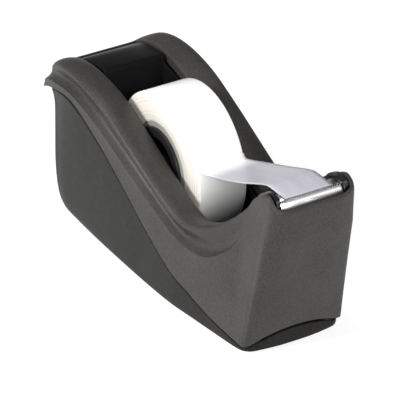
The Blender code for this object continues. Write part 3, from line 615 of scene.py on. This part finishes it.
# ---------------------------------------------------------------------------------------------------------
# Free end of the tape: a single frosted film, sticky below. It bends away from the roll, runs straight to
# the cutter with a slight twist, and lies flat on the platform up to the teeth.
TONGUE_PATH = (
    (14.0, 0.0, 47.75), (14.9, 0.0, 46.85), (16.3, 0.0, 46.6), (18.8, 0.0, 47.3), (24.8, 0.0, 49.3),
    (42.0, 0.0, 55.6), (57.0, 0.0, 61.8), (62.0, 0.0, 62.8), (70.8, 0.0, 62.85),
)
FILM_THICKNESS = 0.12
TWIST = 1.1
TWIST_START = 14.0
TWIST_LENGTH = 47.0
WHITE_END = 14.5
TINTED_START = 30.0
STRIPS_ACROSS = 12
STEPS_ALONG = 8

film_bm = bmesh.new()
film_path = drawn_line(TONGUE_PATH, STEPS_ALONG)
film_edge = [film_bm.verts.new(place * MM) for place in film_path]
for before, after in zip(film_edge, film_edge[1:]):
    film_bm.edges.new((before, after))
bmesh.ops.translate(film_bm, verts=film_bm.verts[:], vec=(0.0, -TAPE_HALF * MM, 0.0))
film_front = film_bm.edges[:]
for _ in range(STRIPS_ACROSS):
    fresh, film_front = fresh_parts(bmesh.ops.extrude_edge_only(film_bm, edges=film_front)["geom"])
    bmesh.ops.translate(film_bm, verts=list(fresh), vec=(0.0, 2.0 * TAPE_HALF / STRIPS_ACROSS * MM, 0.0))
for vertex in film_bm.verts:
    along = min(1.0, max(0.0, (vertex.co.x / MM - TWIST_START) / TWIST_LENGTH))
    vertex.co.z += vertex.co.y / TAPE_HALF * 0.5 * TWIST * math.sin(math.pi * along)
bmesh.ops.recalc_face_normals(film_bm, faces=film_bm.faces[:])
film_bm.normal_update()
if sum(face.normal.z for face in film_bm.faces) < 0.0:
    bmesh.ops.reverse_faces(film_bm, faces=film_bm.faces[:])
film_mesh = bpy.data.meshes.new("free_film")
film_bm.to_mesh(film_mesh)
film_bm.free()
film_mesh.shade_smooth()

frosted_film, tree, shader, places = new_finish("frosted_film")
streaks = ramp(tree, noise(tree, places, 220.0, 3.0, (0.12, 1.0, 0.12)), 0.30, 0.70,
               (0.43, 0.425, 0.475), (0.51, 0.505, 0.55))
mottle = ramp(tree, noise(tree, places, 700.0, 2.0), 0.30, 0.70, (0.96, 0.96, 0.96), (1.0, 1.0, 1.0))
clear = ramp(tree, noise(tree, places, 90.0, 2.0), 0.30, 0.70, (0.90, 0.895, 0.90), (0.95, 0.95, 0.95))
apart = tree.nodes.new("ShaderNodeSeparateXYZ")
tree.links.new(places, apart.inputs["Vector"])
off_roll = tree.nodes.new("ShaderNodeMapRange")
off_roll.interpolation_type = 'SMOOTHSTEP'
off_roll.inputs["From Min"].default_value = WHITE_END * MM
off_roll.inputs["From Max"].default_value = TINTED_START * MM
tree.links.new(apart.outputs["X"], off_roll.inputs["Value"])
tree.links.new(mixed(tree, off_roll.outputs["Result"], clear, multiply(tree, streaks, mottle)),
               shader.inputs["Base Color"])
roughened(tree, shader, noise(tree, places, 900.0, 2.0), 0.30, 0.44)
shader.inputs["Alpha"].default_value = 0.90
bump(tree, shader, noise(tree, places, 1200.0, 2.0), 0.15, 0.00004)
free_film = place_piece("free_film", film_mesh, frosted_film, "spindle", "tape_film", "tape_tongue")
film_wall = free_film.modifiers.new("film", 'SOLIDIFY')
film_wall.thickness = FILM_THICKNESS * MM
film_wall.offset = 0.0

# ---------------------------------------------------------------------------------------------------------
# Tape well: a separate black moulding dropped into the opening. It has a ledge behind, flush with the
# shoulders, a rear wall, a round floor under the roll, and an open slot in each side for the axle.
WELL_EDGE = (
    (-64.3, 54.9), (-58.0, 57.7), (-46.7, 59.1), (-44.4, 58.2), (-42.6, 56.2), (-30.5, 53.6), (-13.3, 46.2),
    (5.7, 37.6), (20.3, 32.3), (29.5, 32.2), (40.2, 38.6), (49.5, 46.1), (55.4, 52.6),
)
WELL_UNDER_NOSE = (57.4, 50.8)
WELL_UNDER_LEDGE = ((-58.0, 56.0), (-63.1, 53.6))
WELL_HALF_OUTSIDE = 12.2
WELL_HALF_INSIDE = 11.0
WELL_WALL = 1.4
WELL_FLOOR_RADIUS = 29.6
WELL_FLOOR_START = 195.0
WELL_FLOOR_END = 309.5
WELL_REAR_WALL = (-44.6, 57.4)
WELL_FRONT_WALL = (55.4, 51.7)
OPEN_TOP = 72.0
AXLE_SLOT_RADIUS = 2.6
WELL_ROUNDING = 0.35
EDGE_STEPS = 5
FLOOR_STEPS = 40
SLOT_STEPS = 16


def arc(radius, start, end, steps):
    """Points (x, z) along an arc about the roll's axle, in degrees from +X towards +Z."""
    points = []
    for index in range(steps + 1):
        angle = math.radians(start + (end - start) * index / steps)
        points.append((ROLL_CENTRE.x / MM + radius * math.cos(angle),
                       ROLL_CENTRE.z / MM + radius * math.sin(angle)))
    return points


def pushed(name, corners, way):
    """Solid made by pushing a flat closed outline along a way."""
    bm = bmesh.new()
    corners = [bm.verts.new(corner * MM) for corner in corners]
    for before, after in zip(corners, corners[1:] + corners[:1]):
        bm.edges.new((before, after))
    bmesh.ops.edgeloop_fill(bm, edges=bm.edges[:])
    fresh, _ = fresh_parts(bmesh.ops.extrude_face_region(bm, geom=bm.faces[:])["geom"])
    bmesh.ops.translate(bm, verts=list(fresh), vec=way * MM)
    solid = bpy.data.objects.new(name, finished_mesh(name, bm))
    bpy.context.scene.collection.objects.link(solid)
    return solid


def prism(name, outline, half_width):
    """Solid with a closed outline (x, z), as wide as twice the half width."""
    corners = [Vector((x, -half_width, z)) for x, z in outline]
    return pushed(name, corners, Vector((0.0, 2.0 * half_width, 0.0)))


def side_line(points, steps):
    """Smooth line (x, z) through points (x, z)."""
    return [(place.x, place.z) for place in drawn_line([(x, 0.0, z) for x, z in points], steps)]


def carved(name, solid, additions, cutters, round_edge, round_steps=2, sharp=30.0):
    """Mesh of a solid with others joined to it or cut out of it, and its corners rounded."""
    for operation, others in (('UNION', additions), ('DIFFERENCE', cutters)):
        for other in others:
            cut = solid.modifiers.new(other.name, 'BOOLEAN')
            cut.operation = operation
            cut.object = other
    bpy.context.view_layer.update()
    result = bpy.data.meshes.new_from_object(solid.evaluated_get(bpy.context.evaluated_depsgraph_get()))
    for used in [solid, *additions, *cutters]:
        bpy.data.objects.remove(used, do_unlink=True)
    bm = bmesh.new()
    bm.from_mesh(result)
    bpy.data.meshes.remove(result)
    bmesh.ops.remove_doubles(bm, verts=bm.verts[:], dist=MERGE_DISTANCE * MM)
    bmesh.ops.dissolve_limit(bm, angle_limit=math.radians(0.5), verts=bm.verts[:], edges=bm.edges[:])
    corners = [edge for edge in bm.edges
               if edge.is_manifold and edge.calc_face_angle() > math.radians(sharp)]
    bmesh.ops.bevel(bm, geom=corners, offset=round_edge * MM, offset_type='OFFSET', affect='EDGES',
                    segments=round_steps, profile=0.5, material=-1, clamp_overlap=True)
    return finished_mesh(name, bm, 45.0)


well_black, tree, shader, places = new_finish("well_black")
coloured(tree, shader, noise(tree, places, 70.0, 4.0), (0.0025, 0.0025, 0.0026), (0.0045, 0.0045, 0.0046))
roughened(tree, shader, noise(tree, places, 260.0, 3.0), 0.30, 0.46)
shader.inputs["Specular IOR Level"].default_value = 0.12
bump(tree, shader, noise(tree, places, 1400.0, 2.0), 0.16, 0.00004)

well_outline = [
    *side_line(WELL_EDGE, EDGE_STEPS), WELL_UNDER_NOSE,
    *arc(WELL_FLOOR_RADIUS + WELL_WALL, WELL_FLOOR_END, WELL_FLOOR_START, FLOOR_STEPS),
    (WELL_REAR_WALL[0] - WELL_WALL, WELL_REAR_WALL[1] - WELL_WALL), *WELL_UNDER_LEDGE,
]
cavity_outline = [
    (WELL_REAR_WALL[0], OPEN_TOP), WELL_REAR_WALL,
    *arc(WELL_FLOOR_RADIUS, WELL_FLOOR_START, WELL_FLOOR_END, FLOOR_STEPS),
    WELL_FRONT_WALL, (WELL_FRONT_WALL[0], OPEN_TOP),
]
slot_outline = arc(AXLE_SLOT_RADIUS, 180.0, 360.0, SLOT_STEPS)
slot_outline += [(slot_outline[-1][0], OPEN_TOP), (slot_outline[0][0], OPEN_TOP)]
well_mesh = carved("black_well", prism("well_block", well_outline, WELL_HALF_OUTSIDE), [],
                   [prism("well_cavity", cavity_outline, WELL_HALF_INSIDE),
                    prism("axle_slot", slot_outline, 2.0 * WELL_HALF_OUTSIDE)], WELL_ROUNDING)
place_piece("black_well", well_mesh, well_black, "dispenser", "black_plastic", "tape_well")

# ---------------------------------------------------------------------------------------------------------
# Cutter head: the black glossy nose that snaps between the shell's ears. Two rounded cheeks guide the tape
# on to a flat platform, and the steel blade is pressed over the platform's front edge.
CHEEK_OUTLINE = (
    (60.8, 54.0), (60.4, 58.4), (61.3, 60.5), (63.4, 62.8), (66.0, 64.4), (69.0, 65.2), (71.4, 65.0),
    (72.9, 63.8), (73.4, 61.6), (73.1, 58.5), (71.9, 54.0),
)
PLATFORM_TOP = (
    (57.0, 56.6), (59.4, 59.4), (62.4, 61.4), (64.0, 61.7), (69.8, 61.7), (70.9, 61.3), (73.2, 57.8),
)
CUT_FRONT = 80.0
CUT_FRONT_FOOT = 52.0
CUT_BACK = 50.0
CUT_BACK_FOOT = 56.0
CHEEK_OUTSIDE = 14.1
CHEEK_INSIDE = 12.5
CHEEK_STEPS = 6
HEAD_ROUNDING = 0.4

head_black, tree, shader, places = new_finish("head_black")
coloured(tree, shader, noise(tree, places, 110.0, 4.0), (0.0045, 0.0045, 0.0048), (0.008, 0.008, 0.0082))
roughened(tree, shader, noise(tree, places, 420.0, 3.0), 0.12, 0.24)
bump(tree, shader, noise(tree, places, 900.0, 2.0), 0.06, 0.00004)

above_outline = [
    *PLATFORM_TOP, (CUT_FRONT, CUT_FRONT_FOOT), (CUT_FRONT, OPEN_TOP), (CUT_BACK, OPEN_TOP),
    (CUT_BACK, CUT_BACK_FOOT),
]
cheek_outline = side_line(CHEEK_OUTLINE, CHEEK_STEPS)
head_mesh = carved("glossy_head", prism("head_block", cheek_outline, CHEEK_OUTSIDE), [],
                   [prism("above_platform", above_outline, CHEEK_INSIDE)], HEAD_ROUNDING, round_steps=3)
place_piece("glossy_head", head_mesh, head_black, "dispenser", "black_plastic", "cutter_head")

# ---------------------------------------------------------------------------------------------------------
# Blade: bright steel strip, stamped with a row of teeth and folded over the platform's edge, so that one
# leaf lies flat under the tape and the toothed one leans forward. A short slit at each end frees the fold.
BLADE_HALF = 12.2
BLADE_THICKNESS = 0.35
BLADE_FOOT = Vector((73.35, 0.0, 59.7))
BLADE_TOP = Vector((71.6, 0.0, 62.9))
BLADE_LEAF = ((66.2, 62.1), (72.1, 62.1), (71.95, 62.4), (66.2, 62.4))
TOOTH_COUNT = 24
TOOTH_HEIGHT = 0.8
SLIT_BACK = 70.75
SLIT_FRONT = 71.45
SLIT_LENGTH = 2.3
SLIT_OVERSHOOT = 1.0
SLIT_FOOT = 61.0
SLIT_HEIGHT = 2.0
BLADE_ROUNDING = 0.05

bright_steel, tree, shader, places = new_finish("bright_steel")
coloured(tree, shader, noise(tree, places, 900.0, 3.0, (1.0, 0.03, 1.0)),
         (0.80, 0.80, 0.79), (0.95, 0.95, 0.94), 0.25, 0.75)
roughened(tree, shader, noise(tree, places, 500.0, 3.0, (1.0, 0.04, 1.0)), 0.20, 0.36)
shader.inputs["Metallic"].default_value = 1.0
bump(tree, shader, noise(tree, places, 1500.0, 2.0, (1.0, 0.03, 1.0)), 0.10, 0.00003)

blade_rise = (BLADE_TOP - BLADE_FOOT).normalized()
tooth_root = BLADE_TOP - blade_rise * TOOTH_HEIGHT
tooth_pitch = 2.0 * BLADE_HALF / TOOTH_COUNT
blade_outline = [BLADE_FOOT - Vector((0.0, BLADE_HALF, 0.0)), BLADE_FOOT + Vector((0.0, BLADE_HALF, 0.0))]
for tooth in range(TOOTH_COUNT, 0, -1):
    tooth_side = Vector((0.0, tooth * tooth_pitch - BLADE_HALF, 0.0))
    blade_outline.append(tooth_root + tooth_side)
    blade_outline.append(BLADE_TOP + tooth_side - Vector((0.0, 0.5 * tooth_pitch, 0.0)))
blade_outline.append(tooth_root - Vector((0.0, BLADE_HALF, 0.0)))
blade_face = Vector((blade_rise.z, 0.0, -blade_rise.x)) * BLADE_THICKNESS
slits = []
for side in (-1.0, 1.0):
    slit_inside = side * (BLADE_HALF - SLIT_LENGTH)
    slit_outside = side * (BLADE_HALF + SLIT_OVERSHOOT)
    slit_corners = [Vector((x, slit_inside, SLIT_FOOT)) for x in (SLIT_BACK, SLIT_FRONT)]
    slit_corners += [Vector((x, slit_outside, SLIT_FOOT)) for x in (SLIT_FRONT, SLIT_BACK)]
    slits.append(pushed("slit", slit_corners, Vector((0.0, 0.0, SLIT_HEIGHT))))
blade_mesh = carved("steel_blade", pushed("toothed_strip", blade_outline, blade_face),
                    [prism("flat_leaf", BLADE_LEAF, BLADE_HALF)], slits, BLADE_ROUNDING, round_steps=1)
place_piece("steel_blade", blade_mesh, bright_steel, "dispenser", "steel", "cutter_blade")

# ---------------------------------------------------------------------------------------------------------
# Hub and axle: two black hub halves pushed into the core from each side, turning on a steel pin whose ends
# drop into the well's slots. Each half is a drum with a flange, a web and a boss.
HUB_RADIUS = 12.6
HUB_INSIDE = 11.0
HUB_FLANGE_RADIUS = 14.6
HUB_BOSS_RADIUS = 4.4
HUB_BORE = 2.45
HUB_MEETING = 0.15
HUB_WEB_INSIDE = 3.6
HUB_WEB_OUTSIDE = 5.0
HUB_FACE = 10.7
HUB_EDGE = 0.3
HUB_STEPS = 96
AXLE_RADIUS = 2.25
AXLE_HALF = 12.0
AXLE_STEPS = 64

# Outline (radius, place along the axle): the drum's outside, the web's inner face and the boss, then the
# bore, the boss's outside, the web's outer face, the drum's inside and the flange.
hub_outline = [
    (HUB_RADIUS, 9.7), (HUB_RADIUS, HUB_MEETING), (HUB_INSIDE, HUB_MEETING), (HUB_INSIDE, HUB_WEB_INSIDE),
    (HUB_BOSS_RADIUS, HUB_WEB_INSIDE), (HUB_BOSS_RADIUS, HUB_MEETING), (HUB_BORE, HUB_MEETING),
    (HUB_BORE, HUB_FACE - HUB_EDGE), (2.7, HUB_FACE),
    (HUB_BOSS_RADIUS - HUB_EDGE, HUB_FACE), (HUB_BOSS_RADIUS, HUB_FACE - HUB_EDGE),
    (HUB_BOSS_RADIUS, HUB_WEB_OUTSIDE + HUB_EDGE), (HUB_BOSS_RADIUS + HUB_EDGE, HUB_WEB_OUTSIDE),
    (HUB_INSIDE - HUB_EDGE, HUB_WEB_OUTSIDE), (HUB_INSIDE, HUB_WEB_OUTSIDE + HUB_EDGE),
    (HUB_INSIDE, 10.3), (11.4, HUB_FACE), (14.2, HUB_FACE), (14.5, 10.55), (HUB_FLANGE_RADIUS, 10.25),
    (HUB_FLANGE_RADIUS, 9.85), (14.5, 9.75),
]
hub_black = grained_plastic("hub_black", (0.007, 0.007, 0.0072), (0.011, 0.011, 0.0112), 0.34, 0.48,
                            specular=0.3, grain=0.2)
place_piece("hub_far", turned("hub_far", hub_outline, HUB_STEPS), hub_black,
            "roll", "hub_plastic", "hub_right")
near_outline = [(radius, -along) for radius, along in hub_outline]
place_piece("hub_near", turned("hub_near", near_outline, HUB_STEPS), hub_black,
            "roll", "hub_plastic", "hub_left")

axle_outline = [
    (0.0, AXLE_HALF), (1.7, AXLE_HALF), (2.1, AXLE_HALF - 0.15), (AXLE_RADIUS, AXLE_HALF - 0.5),
    (AXLE_RADIUS, 0.5 - AXLE_HALF), (2.1, 0.15 - AXLE_HALF), (1.7, -AXLE_HALF), (0.0, -AXLE_HALF),
]
place_piece("axle_pin", turned("axle_pin", axle_outline, AXLE_STEPS), bright_steel,
            "spindle", "steel", "hub_axle")

# ---------------------------------------------------------------------------------------------------------
# Foot pad: dense black foam, glued into the recess under the base so that the dispenser does not slide.
PAD_INSET = 4.3
PAD_THICKNESS = 2.0
PAD_EDGE = 0.3

foot_row = both_halves([(column[3], column[3], column[3]) for column in base_columns])[0]
pad_bm = bmesh.new()
bmesh.ops.create_circle(pad_bm, cap_ends=True, segments=len(foot_row), radius=1.0)
pad_front = max(point.x for point in foot_row)
pad_back = min(point.x for point in foot_row)
pad_side = max(point.y for point in foot_row)
pad_middle = 0.5 * (pad_front + pad_back)
along_share = 1.0 - 2.0 * PAD_INSET / (pad_front - pad_back)
across_share = 1.0 - PAD_INSET / pad_side
pad_ring = list(pad_bm.faces[:][0].verts)
for vertex, place in zip(pad_ring, foot_row):
    vertex.co = Vector((pad_middle + (place.x - pad_middle) * along_share, place.y * across_share, 0.0)) * MM
pad_top, _ = fresh_parts(bmesh.ops.extrude_face_region(pad_bm, geom=pad_bm.faces[:])["geom"])
bmesh.ops.translate(pad_bm, verts=list(pad_top), vec=(0.0, 0.0, PAD_THICKNESS * MM))
pad_rims = [edge for edge in pad_bm.edges if edge.calc_face_angle() > math.radians(60.0)]
bmesh.ops.bevel(pad_bm, geom=pad_rims, offset=PAD_EDGE * MM, offset_type='OFFSET', affect='EDGES',
                segments=2, profile=0.5, material=-1)

black_foam, tree, shader, places = new_finish("black_foam")
coloured(tree, shader, noise(tree, places, 1600.0, 3.0), (0.008, 0.008, 0.008), (0.026, 0.026, 0.025))
roughened(tree, shader, noise(tree, places, 800.0, 2.0), 0.82, 0.96)
bump(tree, shader, noise(tree, places, 2200.0, 3.0), 0.5, 0.00008)
place_piece("foam_pad", finished_mesh("foam_pad", pad_bm), black_foam, "dispenser", "pad_foam", "foot_pad")

# ---------------------------------------------------------------------------------------------------------
# Hidden pieces: the plate that closes the base, the two cast weights and the four slotted screws keep the
# shapes of the frame and get their own finishes.
plate_black = grained_plastic("plate_black", (0.018, 0.018, 0.018), (0.026, 0.026, 0.026), 0.48, 0.62)

cast_iron, tree, shader, places = new_finish("cast_iron")
coloured(tree, shader, noise(tree, places, 140.0, 5.0),
         (0.075, 0.073, 0.072), (0.17, 0.165, 0.16), 0.30, 0.72)
roughened(tree, shader, noise(tree, places, 380.0, 3.0), 0.50, 0.80)
shader.inputs["Metallic"].default_value = 0.85
bump(tree, shader, noise(tree, places, 520.0, 4.0), 0.6, 0.00018)

screw_steel, tree, shader, places = new_finish("screw_steel")
coloured(tree, shader, noise(tree, places, 300.0, 4.0), (0.50, 0.50, 0.49), (0.66, 0.66, 0.64))
roughened(tree, shader, noise(tree, places, 700.0, 3.0), 0.26, 0.42)
shader.inputs["Metallic"].default_value = 1.0
bump(tree, shader, noise(tree, places, 1600.0, 2.0), 0.12, 0.00003)

for node, finish in (("base_plate", plate_black), ("rear_weight", cast_iron), ("front_weight", cast_iron),
                     ("screw_rear_left", screw_steel), ("screw_rear_right", screw_steel),
                     ("screw_front_left", screw_steel), ("screw_front_right", screw_steel)):
    node_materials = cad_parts[node].data.materials
    node_materials.clear()
    node_materials.append(finish)
